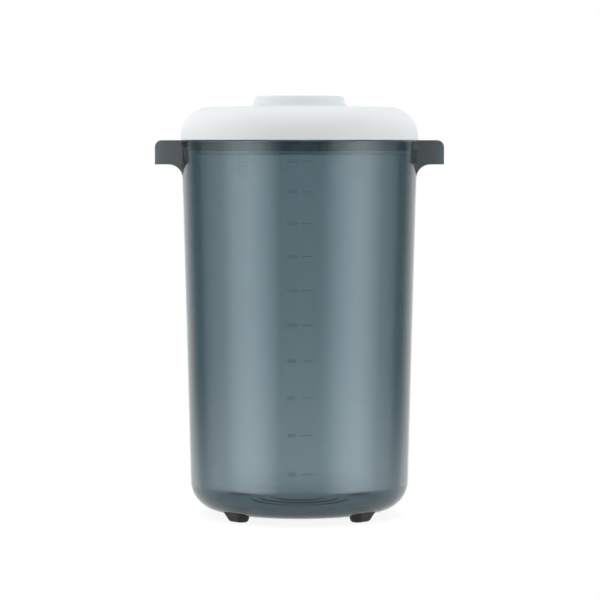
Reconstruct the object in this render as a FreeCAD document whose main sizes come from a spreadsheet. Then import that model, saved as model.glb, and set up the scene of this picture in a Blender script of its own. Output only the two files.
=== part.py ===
import FreeCAD, Part
import math
import os
import re
import Sketcher

# Yogurt maker: a smoke-tinted jar with two lifting lugs, standing on four soft feet and
# closed by a domed lid with a grip boss, an inner cover and a seal.
# Millimetres. +Z is up along the jar's axis and the feet stand on Z = 0. The lugs point
# along X, and the side with the volume scale faces -Y.

# Driving dimensions: alias, value, what it measures.
SIZES = (
    ("rim_height", 202.0, "table to the jar's rim"),
    ("rim_radius", 63.5, "outside of the jar at the rim"),
    ("base_radius", 58.45, "outside of the drafted wall carried down to the underside"),
    ("base_lift", 3.0, "table to the jar's underside"),
    ("wall", 2.2, "jar wall thickness at the rim"),
    ("base_wall", 1.9, "jar wall thickness at the base"),
    ("floor", 2.6, "jar floor thickness"),
    ("corner_radius", 14.9, "outside rounding between floor and wall"),
    ("rim_edge", 0.6, "rounding of the rim"),
    ("panel_radius", 25.6, "raised floor panel, its lower step"),
    ("tier_radius", 21.2, "raised floor panel, its upper step"),
    ("step_rise", 0.75, "height of each of those steps"),
    ("hub_radius", 15.0, "thicker hub in the middle of the panel"),
    ("hub_rise", 0.5, "how far the hub stands out of each face of the panel"),
    ("lug_stand", 14.2, "rim to the lug's outer face"),
    ("lug_depth", 13.0, "rim to the lug's underside"),
    ("lug_root", 16.6, "lug at the jar's mouth, front to back"),
    ("lug_tip", 6.0, "lug at its outer face, front to back"),
    ("lug_top_radius", 3.8, "rounding of the lug's outer top corner"),
    ("lug_root_radius", 7.5, "fillet under the lug, between it and the wall"),
    ("foot_inset", 12.7, "middle of a foot, in from the base radius"),
    ("foot_azimuth", 45.0, "direction of the first foot from X, in degrees"),
    ("foot_length", 11.8, "sole of a foot, along the circle"),
    ("foot_width", 7.2, "sole of a foot, across the circle"),
    ("foot_corner", 3.3, "plan rounding of the sole"),
    ("foot_height", 8.0, "blank of a foot, before the jar's corner trims it"),
    ("foot_flare", 3.0, "how far each end of the blank flares out"),
    ("foot_swell", 3.6, "how far the outer side of the blank flares out"),
    ("foot_edge", 0.8, "bevel of the sole's edge"),
    ("peg_radius", 1.8, "peg under the jar that carries a foot"),
    ("peg_drop", 1.4, "table to the end of a peg"),
    ("lid_overhang", 0.2, "how far the lid stands out past the rim"),
    ("lid_wall", 2.2, "lid shell thickness"),
    ("lid_edge", 0.7, "rounding of the lid's lower edge and of the boss"),
    ("lid_skirt", 1.9, "lid's side below the rounding of its shoulder"),
    ("shoulder_radius", 15.5, "rounding of the lid's shoulder"),
    ("crown_rise", 0.6, "rise of the lid's top from the shoulder to the boss"),
    ("boss_rise", 5.6, "height of the grip boss"),
    ("boss_radius", 24.4, "grip boss"),
    ("boss_lean", 0.5, "draft of the boss over its height"),
    ("boss_root_radius", 3.2, "fillet round the boss"),
    ("cover_depth", 7.5, "rim down to the underside of the inner cover"),
    ("cover_clearance", 1.7, "inner cover's ring to the jar's inside at the rim"),
    ("cover_ring", 3.4, "thickness of the inner cover's ring"),
    ("cover_floor", 2.0, "thickness of the inner cover's disc"),
    ("cover_edge", 1.0, "rounding of the inner cover's lower edge"),
    ("flange_gap", 0.3, "rim to the inner cover's flange"),
    ("flange_height", 2.0, "thickness of the inner cover's flange"),
    ("groove_depth", 1.4, "seal groove in the inner cover's ring"),
    ("seal_top", 1.0, "rim down to the top of the seal"),
    ("seal_height", 4.5, "height of the seal"),
    ("seal_clearance", 0.5, "seal lip to the jar's inside at the rim"),
    ("seal_lip", 0.9, "how far a seal lip stands out"),
    ("seal_lip_edge", 0.3, "rounding of a seal lip"),
)

# Places that several pieces share, worked out from the driving dimensions.
LUG_FACE = "(rim_radius + lug_stand)"
FOOT_CIRCLE = "(base_radius - foot_inset)"
MOUTH_RADIUS = "(rim_radius - wall)"
COVER_RADIUS = "(rim_radius - wall - cover_clearance)"
LID_RADIUS = "(rim_radius + lid_overhang)"
LID_INSIDE = "(rim_radius + lid_overhang - lid_wall)"
LID_SHOULDER = "(rim_height + lid_skirt + shoulder_radius)"
LID_CROWN = "(rim_height + lid_skirt + shoulder_radius + crown_rise)"
LID_TOP = "(rim_height + lid_skirt + shoulder_radius + crown_rise + boss_rise)"

FEET = 4
FOOT_NAMES = ("foot_back_right", "foot_back_left", "foot_front_left", "foot_front_right")
ALIASES = "|".join(alias for alias, value, note in SIZES)
NEAR = 0.02

doc = FreeCAD.newDocument("yogurt_maker")
sheet = doc.addObject("Spreadsheet::Sheet", "Sizes")
for row, (alias, value, note) in enumerate(SIZES, start=1):
    sheet.set("A%d" % row, note)
    sheet.set("B%d" % row, str(value))
    sheet.setAlias("B%d" % row, alias)
doc.recompute()


def bound(text):
    """Expression text with each alias looked up in the sheet."""
    return re.sub(r"\b(%s)\b" % ALIASES, r"Sizes.\1", text)


def size(text):
    """Present value of an expression in the sheet's aliases."""
    return float(sheet.evalExpression(bound(text)))


def new_body(label):
    body = doc.addObject("PartDesign::Body", label)
    body.Label = label
    return body


def origin_part(body, role):
    """One of a body's own origin planes or axes."""
    for part in body.Origin.OriginFeatures:
        if part.Role == role:
            return part
    raise ValueError("no origin feature " + role)


def new_sketch(body, name, role, height="0"):
    """Empty sketch on an origin plane of the body, lifted along the plane's normal."""
    sketch = body.newObject("Sketcher::SketchObject", name)
    sketch.AttachmentSupport = [(origin_part(body, role), "")]
    sketch.MapMode = "FlatFace"
    sketch.setExpression("AttachmentOffset.Base.z", bound(height))
    return sketch


def fix_point(sketch, geometry, vertex, across, along):
    """Hold one sketch point at a place given by two expressions."""
    for kind, text in (("DistanceX", across), ("DistanceY", along)):
        index = sketch.addConstraint(Sketcher.Constraint(kind, -1, 1, geometry, vertex, size(text)))
        sketch.setExpression("Constraints[%d]" % index, bound(text))


def draw_profile(sketch, corners):
    """Closed outline through corners (across, along, rounding), each an expression.

    A rounded corner is a tangent arc, and its sharp corner stays as a construction point.
    """
    points = [FreeCAD.Vector(size(corner[0]), size(corner[1]), 0) for corner in corners]
    count = len(corners)
    arrivals = []
    departures = []
    arcs = {}
    for i, corner in enumerate(corners):
        to_last = (points[i - 1] - points[i]).normalize()
        to_next = (points[(i + 1) % count] - points[i]).normalize()
        if len(corner) == 2:
            arrivals.append(points[i])
            departures.append(points[i])
            continue
        radius = size(corner[2])
        half_angle = to_last.getAngle(to_next) / 2
        reach = radius / math.tan(half_angle)
        arrivals.append(points[i] + to_last * reach)
        departures.append(points[i] + to_next * reach)
        bisector = (to_last + to_next).normalize()
        centre = points[i] + bisector * (radius / math.sin(half_angle))
        turns_left = to_last.cross(to_next).z < 0
        ends = [arrivals[i] - centre, departures[i] - centre]
        if not turns_left:
            ends.reverse()
        start, stop = [math.atan2(end.y, end.x) for end in ends]
        circle = Part.Circle(centre, FreeCAD.Vector(0, 0, 1), radius)
        arc = sketch.addGeometry(Part.ArcOfCircle(circle, start, stop))
        arcs[i] = (arc, 1 if turns_left else 2, 2 if turns_left else 1)
    lines = []
    for i in range(count):
        lines.append(sketch.addGeometry(Part.LineSegment(departures[i], arrivals[(i + 1) % count])))
    for i, corner in enumerate(corners):
        line_in = lines[i - 1]
        line_out = lines[i]
        if i not in arcs:
            sketch.addConstraint(Sketcher.Constraint("Coincident", line_in, 2, line_out, 1))
            fix_point(sketch, line_out, 1, corner[0], corner[1])
            continue
        arc, first, last = arcs[i]
        sketch.addConstraint(Sketcher.Constraint("Tangent", line_in, 2, arc, first))
        sketch.addConstraint(Sketcher.Constraint("Tangent", arc, last, line_out, 1))
        index = sketch.addConstraint(Sketcher.Constraint("Radius", arc, size(corner[2])))
        sketch.setExpression("Constraints[%d]" % index, bound(corner[2]))
        sharp = sketch.addGeometry(Part.Point(points[i]), True)
        sketch.addConstraint(Sketcher.Constraint("PointOnObject", sharp, 1, line_in))
        sketch.addConstraint(Sketcher.Constraint("PointOnObject", sharp, 1, line_out))
        fix_point(sketch, sharp, 1, corner[0], corner[1])
    return sketch


def draw_circle(sketch, across, along, radius):
    centre = FreeCAD.Vector(size(across), size(along), 0)
    circle = sketch.addGeometry(Part.Circle(centre, FreeCAD.Vector(0, 0, 1), size(radius)))
    fix_point(sketch, circle, 3, across, along)
    index = sketch.addConstraint(Sketcher.Constraint("Radius", circle, size(radius)))
    sketch.setExpression("Constraints[%d]" % index, bound(radius))
    return sketch


def turned(body, kind, name, corners):
    """Full turn of an outline about the jar's axis. The seam lies at the back."""
    sketch = draw_profile(new_sketch(body, name + "_outline", "YZ_Plane"), corners)
    feature = body.newObject(kind, name)
    feature.Profile = sketch
    feature.ReferenceAxis = (sketch, ["V_Axis"])
    feature.Angle = 360
    doc.recompute()
    return feature


def rounded(body, name, test, radius):
    """Fillet on the edges of the body so far whose midpoints pass a test."""
    base = body.Tip
    names = []
    for number, edge in enumerate(base.Shape.Edges, start=1):
        middle = edge.valueAt((edge.FirstParameter + edge.LastParameter) / 2)
        if test(middle):
            names.append("Edge%d" % number)
    if not names:
        raise ValueError("no edges for " + name)
    feature = body.newObject("PartDesign::Fillet", name)
    feature.Base = (base, names)
    feature.setExpression("Radius", bound(radius))
    doc.recompute()
    return feature


def padded(body, name, sketch, length):
    feature = body.newObject("PartDesign::Pad", name)
    feature.Profile = sketch
    feature.setExpression("Length", bound(length))
    doc.recompute()
    return feature


def removes(body, feature, before):
    """Stop if a cut took nothing away."""
    if feature.Shape.Volume > before - NEAR:
        raise ValueError(feature.Name + " cuts nothing from " + body.Label)


def floor_corners(level, hub):
    """Raised panel of the jar's floor and its hub at one face of it, from the axis outwards."""
    panel = level + " + 2 * step_rise"
    return [
        ("0", panel + hub),
        ("hub_radius", panel + hub),
        ("hub_radius + hub_rise", panel),
        ("tier_radius", panel),
        ("tier_radius + step_rise", level + " + step_rise"),
        ("panel_radius", level + " + step_rise"),
        ("panel_radius + step_rise", level),
    ]


def outside_corners():
    """Outside of the jar: underside, rolled corner, drafted wall and rim."""
    return floor_corners("base_lift", " - hub_rise") + [
        ("base_radius", "base_lift", "corner_radius"),
        ("rim_radius", "rim_height", "rim_edge"),
        ("0", "rim_height"),
    ]


def inside_corners():
    """Inside of the jar, a wall and a floor thickness in, carried up past the rim."""
    level = "base_lift + floor"
    draft = "(rim_radius - base_radius) * floor / (rim_height - base_lift)"
    return floor_corners(level, " + hub_rise") + [
        ("base_radius - base_wall + " + draft, level, "corner_radius - base_wall"),
        (MOUTH_RADIUS, "rim_height"),
        (MOUTH_RADIUS, "rim_height + wall"),
        ("0", "rim_height + wall"),
    ]


def wall_radius(height):
    """Outside radius of the drafted wall at a height."""
    slope = size("(rim_radius - base_radius) / (rim_height - base_lift)")
    return size("rim_radius") - slope * (size("rim_height") - height)


def beside_lug(point):
    """How far a point lies out from the nearer side face of a lug."""
    share = (abs(point.x) - size(MOUTH_RADIUS)) / size(LUG_FACE + " - " + MOUTH_RADIUS)
    return abs(point.y) - size("lug_root") / 2 + share * size("lug_root - lug_tip") / 2


def under_lug_root(point):
    """Where the underside of a lug meets the wall."""
    at_bottom = abs(point.z - size("rim_height - lug_depth")) < NEAR
    on_wall = abs(math.hypot(point.x, point.y) - wall_radius(point.z)) < NEAR
    return at_bottom and on_wall and beside_lug(point) < NEAR


def over_lug(point):
    """The outer top edge of each lug."""
    at_top = abs(point.z - size("rim_height")) < NEAR
    return at_top and abs(abs(point.x) - size(LUG_FACE)) < NEAR


def inside_the_mouth(point):
    """The rim's inner edge."""
    at_top = abs(point.z - size("rim_height")) < NEAR
    return at_top and math.hypot(point.x, point.y) < size(MOUTH_RADIUS) + NEAR


def make_jar():
    body = new_body("jar")
    turned(body, "PartDesign::Revolution", "jar_outside", outside_corners())

    lug_sketch = new_sketch(body, "lug_outline", "XY_Plane", "rim_height - lug_depth")
    draw_profile(lug_sketch, [
        (MOUTH_RADIUS, "-lug_root / 2"),
        (LUG_FACE, "-lug_tip / 2"),
        (LUG_FACE, "lug_tip / 2"),
        (MOUTH_RADIUS, "lug_root / 2"),
    ])
    lug = padded(body, "lug", lug_sketch, "lug_depth")
    lugs = body.newObject("PartDesign::Mirrored", "lugs")
    lugs.Originals = [lug]
    lugs.MirrorPlane = (origin_part(body, "YZ_Plane"), [""])
    body.Tip = lugs
    doc.recompute()
    rounded(body, "lug_tops", over_lug, "lug_top_radius")
    rounded(body, "lug_roots", under_lug_root, "lug_root_radius")

    peg_sketch = new_sketch(body, "peg_outline", "XY_Plane", "peg_drop")
    draw_circle(peg_sketch, FOOT_CIRCLE + " * cos(foot_azimuth * 1 deg)",
                FOOT_CIRCLE + " * sin(foot_azimuth * 1 deg)", "peg_radius")
    peg = padded(body, "peg", peg_sketch, "base_lift + floor - peg_drop")
    pegs = body.newObject("PartDesign::PolarPattern", "pegs")
    pegs.Originals = [peg]
    pegs.Axis = (origin_part(body, "Z_Axis"), [""])
    pegs.Angle = 360
    pegs.Occurrences = FEET
    body.Tip = pegs
    doc.recompute()

    before = body.Tip.Shape.Volume
    removes(body, turned(body, "PartDesign::Groove", "jar_inside", inside_corners()), before)
    rounded(body, "mouth_edge", inside_the_mouth, "rim_edge")
    return body


def foot_section(body, name, height, flare, swell, inset="0"):
    """Rounded rectangle across a foot: the sole, longer and with its outer side further out."""
    half_length = "(foot_length / 2 + %s - %s)" % (flare, inset)
    near_side = FOOT_CIRCLE + " - foot_width / 2 + " + inset
    far_side = FOOT_CIRCLE + " + foot_width / 2 + %s - %s" % (swell, inset)
    rounding = "foot_corner - %s" % inset
    return draw_profile(new_sketch(body, name, "XY_Plane", height), [
        (near_side, "-" + half_length, rounding),
        (far_side, "-" + half_length, rounding),
        (far_side, half_length, rounding),
        (near_side, half_length, rounding),
    ])


def make_foot(label, number):
    """Tapered pad that follows the jar's rolled corner, pushed onto a peg."""
    body = new_body(label)
    sole = foot_section(body, label + "_sole", "0", "0", "0", inset="foot_edge")
    edge = foot_section(body, label + "_edge", "foot_edge", "0", "0")
    head = foot_section(body, label + "_head", "foot_height", "foot_flare", "foot_swell")
    blank = body.newObject("PartDesign::AdditiveLoft", label + "_blank")
    blank.Profile = sole
    blank.Sections = [edge, head]
    blank.Ruled = True
    doc.recompute()

    before = body.Tip.Shape.Volume
    seat = turned(body, "PartDesign::Groove", label + "_seat", outside_corners())
    removes(body, seat, before)

    before = body.Tip.Shape.Volume
    socket_sketch = new_sketch(body, label + "_socket_outline", "XY_Plane", "peg_drop")
    draw_circle(socket_sketch, FOOT_CIRCLE, "0", "peg_radius")
    socket = body.newObject("PartDesign::Pocket", label + "_socket")
    socket.Profile = socket_sketch
    socket.Reversed = True
    socket.setExpression("Length", bound("foot_height"))
    doc.recompute()
    removes(body, socket, before)

    turn = "foot_azimuth + %d * 360 / %d" % (number, FEET)
    body.Placement = FreeCAD.Placement(FreeCAD.Vector(), FreeCAD.Rotation(FreeCAD.Vector(0, 0, 1), 0))
    body.setExpression("Placement.Rotation.Angle", bound("(%s) * 1 deg" % turn))
    doc.recompute()
    return body


def make_lid_shell():
    body = new_body("lid_shell")
    turned(body, "PartDesign::Revolution", "dome", [
        ("0", LID_TOP + " - lid_wall"),
        ("boss_radius - boss_lean - lid_wall", LID_TOP + " - lid_wall", "lid_edge"),
        ("boss_radius - lid_wall", LID_CROWN + " - lid_wall"),
        (LID_INSIDE, LID_SHOULDER + " - lid_wall", "shoulder_radius - lid_wall"),
        (LID_INSIDE, "rim_height"),
        (LID_RADIUS, "rim_height", "lid_edge"),
        (LID_RADIUS, LID_SHOULDER, "shoulder_radius"),
        ("boss_radius", LID_CROWN, "boss_root_radius"),
        ("boss_radius - boss_lean", LID_TOP, "lid_edge"),
        ("0", LID_TOP),
    ])
    return body


def make_lid_cover():
    """Inner cover: a flange held in the dome, and a ring that plugs the jar's mouth."""
    body = new_body("lid_cover")
    groove_top = "rim_height - seal_top"
    groove_bottom = "rim_height - seal_top - seal_height"
    groove_root = COVER_RADIUS + " - groove_depth"
    flange_bottom = "rim_height + flange_gap"
    flange_top = "rim_height + flange_gap + flange_height"
    ring_inside = COVER_RADIUS + " - cover_ring"
    disc_top = "rim_height - cover_depth + cover_floor"
    turned(body, "PartDesign::Revolution", "plug", [
        ("0", "rim_height - cover_depth"),
        (COVER_RADIUS, "rim_height - cover_depth", "cover_edge"),
        (COVER_RADIUS, groove_bottom),
        (groove_root, groove_bottom),
        (groove_root, groove_top),
        (COVER_RADIUS, groove_top),
        (COVER_RADIUS, flange_bottom),
        (LID_INSIDE, flange_bottom),
        (LID_INSIDE, flange_top),
        (ring_inside, flange_top),
        (ring_inside, disc_top, "cover_edge"),
        ("0", disc_top),
    ])
    return body


def make_lid_seal():
    """Soft ring in the inner cover's groove, with two lips against the jar's mouth."""
    body = new_body("lid_seal")
    inside = COVER_RADIUS + " - groove_depth"
    outside = MOUTH_RADIUS + " - seal_clearance"
    valley = outside + " - seal_lip"
    corners = [(inside, "rim_height - seal_top - seal_height")]
    for share, radius in ((0, valley), (0.25, outside), (0.5, valley), (0.75, outside), (1, valley)):
        height = "rim_height - seal_top - seal_height * %s" % (1 - share)
        corner = (radius, height)
        if 0 < share < 1:
            corner += ("seal_lip_edge",)
        corners.append(corner)
    corners.append((inside, "rim_height - seal_top"))
    turned(body, "PartDesign::Revolution", "ring", corners)
    return body


def check_document():
    """Stop if anything in the document failed to build."""
    for item in doc.Objects:
        if "Invalid" in item.State or "Error" in item.State:
            raise RuntimeError(item.Name + " failed: " + str(item.State))


def write_parts(bodies):
    for body in bodies:
        shape = body.Shape
        if shape.isNull() or not shape.isValid() or len(shape.Solids) != 1:
            raise RuntimeError(body.Label + " is not one sound solid")
    os.makedirs("parts", exist_ok=True)
    for body in bodies:
        body.Shape.exportStep("parts/%s.step" % body.Label)
        print("%-18s %9.1f mm3" % (body.Label, body.Shape.Volume))


sub_parts = [make_jar()]
for foot_number, foot_name in enumerate(FOOT_NAMES):
    sub_parts.append(make_foot(foot_name, foot_number))
sub_parts += [make_lid_shell(), make_lid_cover(), make_lid_seal()]
doc.recompute()
check_document()
write_parts(sub_parts)
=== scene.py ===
import math

import bmesh
import bpy
from bpy.props import FloatProperty, FloatVectorProperty, IntProperty, PointerProperty
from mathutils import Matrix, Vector
from mathutils.bvhtree import BVHTree


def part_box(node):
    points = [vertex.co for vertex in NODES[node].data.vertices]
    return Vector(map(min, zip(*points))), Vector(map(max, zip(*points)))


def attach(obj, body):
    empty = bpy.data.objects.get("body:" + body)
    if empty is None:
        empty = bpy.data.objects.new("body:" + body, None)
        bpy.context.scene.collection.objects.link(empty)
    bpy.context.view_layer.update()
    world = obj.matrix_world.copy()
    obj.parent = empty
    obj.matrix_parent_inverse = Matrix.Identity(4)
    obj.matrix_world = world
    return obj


# Finishes for a yogurt maker: the smoke-tinted jar with its printed volume scale, the soft
# feet, the white lid with its inner cover and seal, and a small studio to show them in.
# Metres, in the frame's own axes: +Z up, the side with the scale towards -Y.

bl_info = {
    "name": "Yogurt maker finishes",
    "version": (1, 0, 0),
    "blender": (4, 5, 0),
    "location": "3D View > Sidebar > Yogurt",
    "description": "Dresses the frame of a yogurt maker and sets up its studio",
    "category": "Object",
}

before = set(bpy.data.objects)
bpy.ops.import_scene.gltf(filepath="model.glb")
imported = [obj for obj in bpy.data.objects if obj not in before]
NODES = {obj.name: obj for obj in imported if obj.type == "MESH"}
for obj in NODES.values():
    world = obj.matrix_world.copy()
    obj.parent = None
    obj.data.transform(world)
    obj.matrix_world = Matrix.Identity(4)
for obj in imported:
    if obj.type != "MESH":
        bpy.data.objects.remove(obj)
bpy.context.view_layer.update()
JAR_LOW, JAR_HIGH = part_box("jar")
RIM_HEIGHT = JAR_HIGH.z
FEET = sorted(name for name in NODES if name.startswith("foot_"))
MILLIMETRE = 0.001

# Most of a noise texture's values lie between these.
NOISE_LOW, NOISE_HIGH = 0.3, 0.7

# Directions in the studio, and the spans of their dot products over which its levels change.
BACKWARD = (0.0, 1.0, 0.0)
UPWARD = (0.0, 0.0, 1.0)
OVERHEAD = (-0.05, 0.25, 0.97)
FILL_SPAN = (-0.75, 0.25)
TOP_SPAN = (0.6, 1.0)
BACKDROP_SPAN = (0.52, 0.90)
TABLE_SPAN = (-0.19, -0.105)
TABLE_END_SPAN = (0.72, 0.98)


def colour_prop(name, description, default):
    """Linear colour that the user may change."""
    return FloatVectorProperty(name=name, description=description, default=default,
                               subtype="COLOR", size=3, min=0.0, max=1.0)


def number_prop(name, description, default, **kind):
    return FloatProperty(name=name, description=description, default=default, **kind)


def length_prop(name, description, default):
    return number_prop(name, description, default, subtype="DISTANCE", unit="LENGTH", precision=5)


def share_prop(name, description, default):
    return number_prop(name, description, default, subtype="FACTOR", min=0.0, max=1.0)


def level_prop(name, description, default):
    """Strength of light, where 1 is white."""
    return number_prop(name, description, default, min=0.0)


def power_prop(name, description, default):
    return number_prop(name, description, default, unit="POWER")


def angle_prop(name, description, degrees):
    return number_prop(name, description, math.radians(degrees), subtype="ANGLE", unit="ROTATION")


class JarFinish(bpy.types.PropertyGroup):
    """Clear smoke-tinted plastic of the jar."""
    tint: colour_prop("Tint", "Colour that the plastic lets through best", (0.10, 0.27, 0.32))
    density: number_prop("Density", "How fast the tint darkens, per metre of plastic", 600.0,
                         min=0.0)
    sheen_colour: colour_prop("Gloss colour", "Colour of the plastic's reflections",
                              (0.78, 0.84, 0.875))
    polish: share_prop("Roughness", "Roughness of the polished wall", 0.03)
    haze: share_prop("Haze", "Extra roughness of the faint moulding clouds", 0.03)
    index: number_prop("IOR", "Refraction of the plastic", 1.5, min=1.0, max=2.0)


class LidFinish(bpy.types.PropertyGroup):
    """White plastic of the lid, and the soft ring that seals it."""
    white: colour_prop("White", "Colour of the lid", (0.77, 0.80, 0.81))
    inner_white: colour_prop("Inner cover", "Colour of the inner cover", (0.75, 0.78, 0.79))
    roughness: share_prop("Roughness", "Roughness of the lid's satin skin", 0.58)
    seal_grey: colour_prop("Seal", "Colour of the seal ring", (0.40, 0.42, 0.43))
    seal_roughness: share_prop("Seal roughness", "Roughness of the seal ring", 0.5)


class FootFinish(bpy.types.PropertyGroup):
    """Dark soft feet."""
    grey: colour_prop("Grey", "Colour of the feet", (0.020, 0.024, 0.027))
    roughness: share_prop("Roughness", "Roughness of the satin skin", 0.42)


class ScalePrint(bpy.types.PropertyGroup):
    """Volume scale printed on the front of the jar."""
    ink: colour_prop("Ink", "Colour of the print", (0.030, 0.080, 0.100))
    marks: IntProperty(name="Marks", description="Number of marks", default=10, min=1)
    step: IntProperty(name="Step", description="Volume from mark to mark, in millilitres",
                      default=200)
    first_height: length_prop("First mark", "Height of the lowest mark above the table", 0.0284)
    first_gap: length_prop("First gap", "Height from the lowest mark to the next", 0.0203)
    gap_loss: length_prop("Gap loss", "How much each gap is smaller than the one below", 0.00055)
    tick_start: length_prop("Tick start", "Middle of the front to the near end of a tick", 0.0010)
    tick_length: length_prop("Tick length", "Length of a tick", 0.0062)
    tick_width: length_prop("Tick width", "Width of a tick", 0.0003)
    figures_start: length_prop("Figures start", "Middle of the front to the left of the figures",
                               -0.0062)
    figures_height: length_prop("Figures height", "Height of the figures", 0.0020)
    film: length_prop("Film", "Thickness of the ink", 0.00004)


class Studio(bpy.types.PropertyGroup):
    """Floor, lights and camera."""
    camera_distance: length_prop("Camera distance", "Axis of the jar to the camera", 1.455)
    camera_pitch: angle_prop("Camera pitch", "How far the camera looks down", 3.39)
    camera_side: length_prop("Camera side", "How far right of the middle the camera stands", 0.0003)
    camera_lens: number_prop("Lens", "Focal length", 161.9, subtype="DISTANCE_CAMERA")
    light_distance: length_prop("Light distance", "Axis of the jar to a light", 1.0)
    light_width: length_prop("Light width", "Width of a light", 2.2)
    light_height: length_prop("Light height", "Height of a light", 1.5)
    softbox_angle: angle_prop("Softbox angle", "Softbox from the camera's direction", 50.0)
    softbox_spread: angle_prop("Softbox spread", "How widely a softbox shines", 64.0)
    softbox_power: power_prop("Softbox power", "Power of the left softbox", 3.0)
    wing_angle: angle_prop("Wing angle", "Broad side light from the camera's direction", 68.0)
    wing_spread: angle_prop("Wing spread", "How widely a side light shines", 96.0)
    wing_power: power_prop("Wing power", "Power of the left side light", 5.1)
    right_share: share_prop("Right share", "Power of the right lights against the left", 0.95)
    right_turn: angle_prop("Right turn", "How much further round the right softbox stands", 8.0)
    fill_front: level_prop("Front fill", "Soft light from the side behind the camera", 0.0)
    fill_back: level_prop("Back fill", "Soft light from the backdrop", 0.36)
    fill_top: level_prop("Top fill", "Soft light from above", 2.1)
    front_level: level_prop("Front level", "What gloss sees of the side behind the camera", 0.10)
    table_level: level_prop("Table level", "What gloss sees of the white table", 1.6)
    floor_radius: length_prop("Floor radius", "Radius of the round floor", 0.125)
    floor_drop: length_prop("Floor drop", "Soles of the feet down to the floor", 0.00005)
    floor_colour: colour_prop("Floor", "Colour of the floor", (0.80, 0.81, 0.82))
    floor_glow: level_prop("Floor glow", "Brightness that makes the floor look white", 1.19)
    floor_glow_share: share_prop("Glow share", "How far that brightness hides the shadow", 0.75)


def settings(name):
    """The property group of one step."""
    return getattr(bpy.context.scene, "yogurt_" + name)


class Finish:
    """A new material with its shader, and the texture nodes that vary it."""

    def __init__(self, name):
        self.material = bpy.data.materials.new(name)
        self.material.use_nodes = True
        self.nodes = self.material.node_tree.nodes
        self.links = self.material.node_tree.links
        self.shader = self.nodes["Principled BSDF"]
        self.output = self.nodes["Material Output"]
        self.place = self.nodes.new("ShaderNodeTexCoord").outputs["Object"]

    def set(self, **values):
        """Constants on the shader's own sockets, words joined by underscores."""
        for key, value in values.items():
            socket = key.replace("_", " ").title().replace("Ior", "IOR")
            self.shader.inputs[socket].default_value = value

    def noise(self, scale, detail=3.0, stretch=(1.0, 1.0, 1.0)):
        """Noise over the piece, its grain given per metre, stretched along the axes."""
        mapping = self.nodes.new("ShaderNodeMapping")
        mapping.inputs["Scale"].default_value = stretch
        self.links.new(self.place, mapping.inputs["Vector"])
        noise = self.nodes.new("ShaderNodeTexNoise")
        noise.inputs["Scale"].default_value = scale
        noise.inputs["Detail"].default_value = detail
        self.links.new(mapping.outputs["Vector"], noise.inputs["Vector"])
        return noise.outputs["Fac"]

    def vary_colour(self, fac, low, high):
        """Base colour between two colours, by a texture."""
        ramp = self.nodes.new("ShaderNodeValToRGB")
        first, last = ramp.color_ramp.elements
        first.position = NOISE_LOW
        first.color = (*low, 1.0)
        last.position = NOISE_HIGH
        last.color = (*high, 1.0)
        self.links.new(fac, ramp.inputs["Fac"])
        self.links.new(ramp.outputs["Color"], self.shader.inputs["Base Color"])

    def vary_roughness(self, fac, low, high):
        spread = self.nodes.new("ShaderNodeMapRange")
        spread.inputs["From Min"].default_value = NOISE_LOW
        spread.inputs["From Max"].default_value = NOISE_HIGH
        spread.inputs["To Min"].default_value = low
        spread.inputs["To Max"].default_value = high
        self.links.new(fac, spread.inputs["Value"])
        self.links.new(spread.outputs["Result"], self.shader.inputs["Roughness"])

    def bump(self, fac, height, strength):
        bump = self.nodes.new("ShaderNodeBump")
        bump.inputs["Distance"].default_value = height
        bump.inputs["Strength"].default_value = strength
        self.links.new(fac, bump.inputs["Height"])
        self.links.new(bump.outputs["Normal"], self.shader.inputs["Normal"])


def shaded(colour, share):
    """A colour made darker or lighter by a share."""
    return tuple(min(1.0, channel * share) for channel in colour)


def dress(node, finish):
    """Give a frame node its finish in every material slot."""
    slots = NODES[node].material_slots
    if not slots:
        raise RuntimeError(node + " has no material slot")
    for slot in slots:
        slot.material = finish.material


def smoke_plastic(jar):
    finish = Finish("smoke_plastic_moulded")
    finish.set(ior=jar.index, transmission_weight=1.0, specular_tint=(*jar.sheen_colour, 1.0))
    clouds = finish.noise(18.0, stretch=(1.0, 1.0, 0.35))
    finish.vary_colour(clouds, (0.97, 0.975, 0.98), (1.0, 1.0, 1.0))
    finish.vary_roughness(clouds, jar.polish, jar.polish + jar.haze)
    finish.bump(finish.noise(26.0, detail=1.0, stretch=(1.0, 1.0, 0.3)), 0.2 * MILLIMETRE, 0.015)
    absorption = finish.nodes.new("ShaderNodeVolumeAbsorption")
    absorption.inputs["Color"].default_value = (*jar.tint, 1.0)
    absorption.inputs["Density"].default_value = jar.density
    finish.links.new(absorption.outputs["Volume"], finish.output.inputs["Volume"])
    return finish


def white_plastic(name, colour, roughness):
    finish = Finish(name)
    finish.set(ior=1.48, specular_ior_level=0.3)
    finish.vary_colour(finish.noise(35.0), shaded(colour, 0.985), shaded(colour, 1.01))
    finish.vary_roughness(finish.noise(120.0), roughness - 0.04, roughness + 0.05)
    finish.bump(finish.noise(1500.0, detail=2.0), 0.05 * MILLIMETRE, 0.05)
    return finish


def soft_rubber(name, colour, roughness):
    finish = Finish(name)
    finish.set(ior=1.42, specular_ior_level=0.3)
    finish.vary_colour(finish.noise(260.0), shaded(colour, 0.85), shaded(colour, 1.15))
    finish.vary_roughness(finish.noise(500.0), roughness - 0.06, roughness + 0.1)
    finish.bump(finish.noise(2500.0, detail=2.0), 0.04 * MILLIMETRE, 0.15)
    return finish


def printed_ink(colour):
    finish = Finish("scale_ink")
    finish.set(ior=1.45)
    finish.vary_colour(finish.noise(900.0), shaded(colour, 0.9), shaded(colour, 1.15))
    finish.vary_roughness(finish.noise(1500.0), 0.5, 0.65)
    return finish


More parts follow.
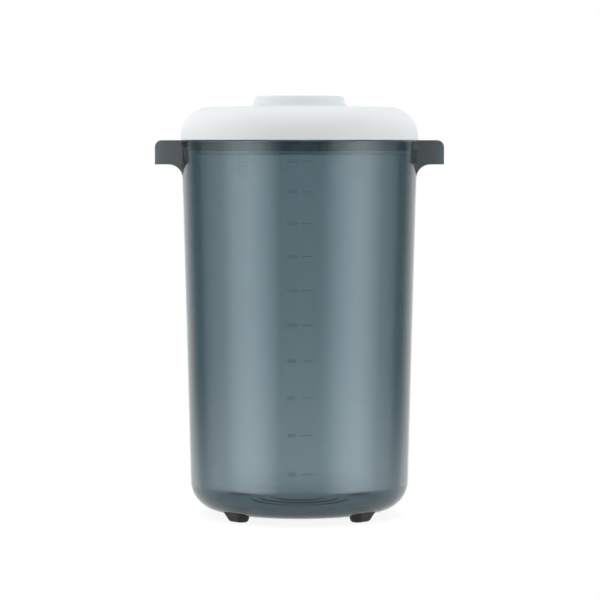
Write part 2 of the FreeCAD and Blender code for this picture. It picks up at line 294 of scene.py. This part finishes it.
class YOGURT_OT_jar(bpy.types.Operator):
    """Give the jar its clear smoke-tinted plastic"""
    bl_idname = "yogurt.jar"
    bl_label = "Jar"

    def execute(self, context):
        dress("jar", smoke_plastic(settings("jar")))
        return {"FINISHED"}


class YOGURT_OT_feet(bpy.types.Operator):
    """Give the feet their dark soft skin"""
    bl_idname = "yogurt.feet"
    bl_label = "Feet"

    def execute(self, context):
        feet = settings("feet")
        rubber = soft_rubber("foot_silicone_satin", feet.grey, feet.roughness)
        for name in FEET:
            dress(name, rubber)
        return {"FINISHED"}


class YOGURT_OT_lid(bpy.types.Operator):
    """Give the lid, its inner cover and its seal their finishes"""
    bl_idname = "yogurt.lid"
    bl_label = "Lid"

    def execute(self, context):
        lid = settings("lid")
        dress("lid_shell", white_plastic("white_plastic_skin", lid.white, lid.roughness))
        dress("lid_cover", white_plastic("white_plastic_inner", lid.inner_white, lid.roughness))
        dress("lid_seal", soft_rubber("seal_silicone_satin", lid.seal_grey, lid.seal_roughness))
        return {"FINISHED"}


def wall_finder():
    """Function that gives the jar's outside wall at an angle from the front and a height."""
    jar = NODES["jar"].data
    tree = BVHTree.FromPolygons([v.co for v in jar.vertices], [p.vertices for p in jar.polygons])
    far = 2.0 * JAR_HIGH.x

    def wall_point(angle, height):
        outward = Vector((math.sin(angle), -math.cos(angle), 0.0))
        start = outward * far + Vector((0.0, 0.0, height))
        place = tree.ray_cast(start, -outward)[0]
        if place is None:
            raise RuntimeError("no wall for the scale at height %.4f" % height)
        return place, outward

    return wall_point


def tick_outline(start, length, width, steps=12):
    """Faces of a flat bar with round ends, cut into short lengths so that it can bend."""
    half = width / 2
    blunt = 0.2 * half
    columns = []
    for i in range(steps + 1):
        share = i / steps
        from_middle = abs(2 * share - 1) * length / 2
        inset = max(0.0, from_middle - (length / 2 - half))
        reach = math.sqrt(max(0.0, half * half - inset * inset))
        columns.append((start + share * length, max(blunt, reach)))
    corners = [(x, -y) for x, y in columns] + [(x, y) for x, y in columns]
    count = steps + 1
    faces = [(i, i + 1, count + i + 1, count + i) for i in range(steps)]
    return corners, faces


def figure_outline(text, height):
    """Faces of plain figures set in the built-in type, flat, starting at the origin."""
    curve = bpy.data.curves.new("figures", "FONT")
    curve.body = text
    curve.size = 1.0
    curve.align_y = "CENTER"
    curve.resolution_u = 3
    holder = bpy.data.objects.new("figures", curve)
    bpy.context.scene.collection.objects.link(holder)
    bpy.context.view_layer.update()
    graph = bpy.context.evaluated_depsgraph_get()
    flat = bpy.data.meshes.new_from_object(holder.evaluated_get(graph))
    low = min(v.co.y for v in flat.vertices)
    high = max(v.co.y for v in flat.vertices)
    left = min(v.co.x for v in flat.vertices)
    factor = height / (high - low)
    middle = (low + high) / 2
    corners = [((v.co.x - left) * factor, (v.co.y - middle) * factor) for v in flat.vertices]
    faces = [tuple(p.vertices) for p in flat.polygons]
    bpy.data.objects.remove(holder)
    bpy.data.curves.remove(curve)
    bpy.data.meshes.remove(flat)
    return corners, faces


class YOGURT_OT_scale(bpy.types.Operator):
    """Print the volume scale on the front of the jar"""
    bl_idname = "yogurt.scale"
    bl_label = "Volume scale"

    def execute(self, context):
        scale = settings("scale")
        wall_point = wall_finder()
        ink = printed_ink(scale.ink)
        ticks = bmesh.new()
        figures = bmesh.new()
        height = scale.first_height
        gap = scale.first_gap
        for mark in range(1, scale.marks + 1):
            bar = tick_outline(scale.tick_start, scale.tick_length, scale.tick_width)
            lay_print(ticks, bar, 0.0, height, wall_point, scale.film)
            text = figure_outline(str(mark * scale.step), scale.figures_height)
            lay_print(figures, text, scale.figures_start, height, wall_point, scale.film)
            height += gap
            gap -= scale.gap_loss
        for name, shape in (("scale_ticks", ticks), ("scale_figures", figures)):
            finish_print(name, shape, ink)
        return {"FINISHED"}


def lay_print(shape, outline, shift, height, wall_point, film):
    """Lay a flat outline on the jar's wall as a thin closed film."""
    corners, faces = outline
    radius = abs(wall_point(0.0, height)[0].y)
    layers = []
    for lift in (0.1 * film, film):
        layer = []
        for across, up in corners:
            place, outward = wall_point((across + shift) / radius, height + up)
            layer.append(shape.verts.new(place + outward * lift))
        layers.append(layer)
    below, above = layers
    rim = {}
    for face in faces:
        shape.faces.new([above[i] for i in face])
        shape.faces.new([below[i] for i in reversed(face)])
        for a, b in zip(face, face[1:] + face[:1]):
            if (b, a) in rim:
                del rim[(b, a)]
            else:
                rim[(a, b)] = True
    for a, b in rim:
        shape.faces.new((above[b], above[a], below[a], below[b]))


def finish_print(name, shape, ink):
    """Make a printed piece that rides on the jar."""
    bmesh.ops.recalc_face_normals(shape, faces=shape.faces)
    mesh = bpy.data.meshes.new(name)
    shape.to_mesh(mesh)
    shape.free()
    mesh.materials.append(ink.material)
    piece = bpy.data.objects.new(name, mesh)
    bpy.context.scene.collection.objects.link(piece)
    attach(piece, "jar")


class YOGURT_OT_studio(bpy.types.Operator):
    """Set up the pale floor, the soft light and the camera"""
    bl_idname = "yogurt.studio"
    bl_label = "Studio"

    def execute(self, context):
        studio = settings("studio")
        context.scene.view_settings.view_transform = "Standard"
        make_floor(studio)
        make_world(studio)
        sides = (("left", -1, 0.0, 1.0), ("right", 1, studio.right_turn, studio.right_share))
        for side, sign, turn, share in sides:
            softbox_angle = sign * (studio.softbox_angle + turn)
            make_light("softbox_" + side, softbox_angle, studio.softbox_spread,
                       share * studio.softbox_power, studio)
            make_light("wing_" + side, sign * studio.wing_angle, studio.wing_spread,
                       share * studio.wing_power, studio)
        make_camera(studio)
        return {"FINISHED"}


def seen_ray(nodes, links, kinds):
    """Socket that is 1 for the rays of these kinds and 0 for others."""
    path = nodes.new("ShaderNodeLightPath")
    total = path.outputs[kinds[0]]
    for kind in kinds[1:]:
        either = nodes.new("ShaderNodeMath")
        either.operation = "MAXIMUM"
        links.new(total, either.inputs[0])
        links.new(path.outputs[kind], either.inputs[1])
        total = either.outputs[0]
    return total


def make_floor(studio):
    """Round pale floor that looks white to the camera and keeps a soft shadow."""
    shape = bmesh.new()
    bmesh.ops.create_circle(shape, cap_ends=True, segments=96, radius=studio.floor_radius)
    mesh = bpy.data.meshes.new("floor")
    shape.to_mesh(mesh)
    shape.free()
    floor = bpy.data.objects.new("floor", mesh)
    floor.location.z = -studio.floor_drop
    bpy.context.scene.collection.objects.link(floor)

    material = bpy.data.materials.new("pale_floor")
    material.use_nodes = True
    nodes = material.node_tree.nodes
    links = material.node_tree.links
    nodes.clear()
    matt = nodes.new("ShaderNodeBsdfDiffuse")
    matt.inputs["Color"].default_value = (*studio.floor_colour, 1.0)
    glow = nodes.new("ShaderNodeEmission")
    glow.inputs["Strength"].default_value = studio.floor_glow
    share = nodes.new("ShaderNodeMath")
    share.operation = "MULTIPLY"
    share.inputs[1].default_value = studio.floor_glow_share
    seen = seen_ray(nodes, links, ("Is Camera Ray", "Is Glossy Ray", "Is Transmission Ray"))
    links.new(seen, share.inputs[0])
    mix = nodes.new("ShaderNodeMixShader")
    links.new(share.outputs[0], mix.inputs["Fac"])
    links.new(matt.outputs["BSDF"], mix.inputs[1])
    links.new(glow.outputs["Emission"], mix.inputs[2])
    output = nodes.new("ShaderNodeOutputMaterial")
    links.new(mix.outputs["Shader"], output.inputs["Surface"])
    mesh.materials.append(material)


def spread_level(nodes, links, value, span, levels):
    """Socket for a level that changes smoothly over a span of values."""
    level = nodes.new("ShaderNodeMapRange")
    level.interpolation_type = "SMOOTHSTEP"
    level.inputs["From Min"].default_value, level.inputs["From Max"].default_value = span
    level.inputs["To Min"].default_value, level.inputs["To Max"].default_value = levels
    links.new(value, level.inputs["Value"])
    return level.outputs["Result"]


def join(nodes, links, operation, first, second):
    """Socket for the sum or product of two others."""
    node = nodes.new("ShaderNodeMath")
    node.operation = operation
    links.new(first, node.inputs[0])
    links.new(second, node.inputs[1])
    return node.outputs[0]


def facing(nodes, links, direction, towards):
    """Socket for how far a direction faces a given way, from -1 to 1."""
    product = nodes.new("ShaderNodeVectorMath")
    product.operation = "DOT_PRODUCT"
    product.inputs[1].default_value = towards
    links.new(direction, product.inputs[0])
    return product.outputs["Value"]


def make_world(studio):
    """White backdrop round a dim side behind the camera, with a white table below."""
    world = bpy.data.worlds.new("studio")
    bpy.context.scene.world = world
    world.use_nodes = True
    nodes = world.node_tree.nodes
    links = world.node_tree.links
    background = nodes["Background"]
    direction = nodes.new("ShaderNodeTexCoord").outputs["Generated"]
    along = facing(nodes, links, direction, BACKWARD)
    overhead = facing(nodes, links, direction, OVERHEAD)
    up = facing(nodes, links, direction, UPWARD)

    level = spread_level(nodes, links, along, FILL_SPAN, (studio.fill_front, studio.fill_back))
    above = spread_level(nodes, links, overhead, TOP_SPAN, (0.0, studio.fill_top))
    fill = join(nodes, links, "ADD", level, above)

    backdrop = spread_level(nodes, links, along, BACKDROP_SPAN, (studio.front_level, 1.0))
    table = spread_level(nodes, links, up, TABLE_SPAN, (studio.table_level, 0.0))
    table_end = spread_level(nodes, links, along, TABLE_END_SPAN, (1.0, 0.0))
    table = join(nodes, links, "MULTIPLY", table, table_end)
    gloss = join(nodes, links, "ADD", backdrop, table)

    choice = nodes.new("ShaderNodeMix")
    links.new(seen_ray(nodes, links, ("Is Glossy Ray",)), choice.inputs["Factor"])
    links.new(fill, choice.inputs["A"])
    links.new(gloss, choice.inputs["B"])
    white = nodes.new("ShaderNodeMix")
    seen = seen_ray(nodes, links, ("Is Camera Ray", "Is Transmission Ray"))
    links.new(seen, white.inputs["Factor"])
    links.new(choice.outputs["Result"], white.inputs["A"])
    white.inputs["B"].default_value = 1.0
    links.new(white.outputs["Result"], background.inputs["Strength"])
    background.inputs["Color"].default_value = (1.0, 1.0, 1.0, 1.0)


def make_light(name, angle, spread, power, studio):
    """Large soft light at an angle from the camera, level with the middle of the jar."""
    light = bpy.data.lights.new(name, "AREA")
    light.shape = "RECTANGLE"
    light.size = studio.light_width
    light.size_y = studio.light_height
    light.energy = power
    light.spread = spread
    lamp = bpy.data.objects.new(name, light)
    outward = Vector((math.sin(angle), -math.cos(angle), 0.0))
    lamp.location = outward * studio.light_distance + Vector((0.0, 0.0, RIM_HEIGHT / 2))
    lamp.rotation_euler = outward.to_track_quat("Z", "Y").to_euler()
    lamp.visible_camera = False
    bpy.context.scene.collection.objects.link(lamp)


def make_camera(studio):
    """Long lens at the height of the rim, looking slightly down."""
    data = bpy.data.cameras.new("camera")
    data.lens = studio.camera_lens
    camera = bpy.data.objects.new("camera", data)
    camera.location = (studio.camera_side, -studio.camera_distance, RIM_HEIGHT)
    camera.rotation_euler = (math.radians(90.0) - studio.camera_pitch, 0.0, 0.0)
    bpy.context.scene.collection.objects.link(camera)
    bpy.context.scene.camera = camera


class YOGURT_PT_sidebar(bpy.types.Panel):
    """Sizes, colours and the steps that dress the object"""
    bl_idname = "YOGURT_PT_sidebar"
    bl_label = "Yogurt maker"
    bl_space_type = "VIEW_3D"
    bl_region_type = "UI"
    bl_category = "Yogurt"

    def draw(self, context):
        for operator, group in zip(OPERATORS, GROUPS):
            box = self.layout.box()
            box.operator(operator.bl_idname)
            for key in getattr(context.scene, group).bl_rna.properties.keys():
                if key not in ("rna_type", "name"):
                    box.prop(getattr(context.scene, group), key)


GROUPS = {
    "yogurt_jar": JarFinish,
    "yogurt_feet": FootFinish,
    "yogurt_lid": LidFinish,
    "yogurt_scale": ScalePrint,
    "yogurt_studio": Studio,
}
OPERATORS = (YOGURT_OT_jar, YOGURT_OT_feet, YOGURT_OT_lid, YOGURT_OT_scale, YOGURT_OT_studio)


def register():
    for group in GROUPS.values():
        bpy.utils.register_class(group)
    for operator in OPERATORS:
        bpy.utils.register_class(operator)
    bpy.utils.register_class(YOGURT_PT_sidebar)
    for key, group in GROUPS.items():
        setattr(bpy.types.Scene, key, PointerProperty(type=group))


def unregister():
    for key in GROUPS:
        delattr(bpy.types.Scene, key)
    bpy.utils.unregister_class(YOGURT_PT_sidebar)
    for operator in reversed(OPERATORS):
        bpy.utils.unregister_class(operator)
    for group in reversed(GROUPS.values()):
        bpy.utils.unregister_class(group)


def main():
    register()
    bpy.ops.yogurt.jar()
    bpy.ops.yogurt.feet()
    bpy.ops.yogurt.lid()
    bpy.ops.yogurt.scale()
    bpy.ops.yogurt.studio()


if __name__ == "__main__":
    main()
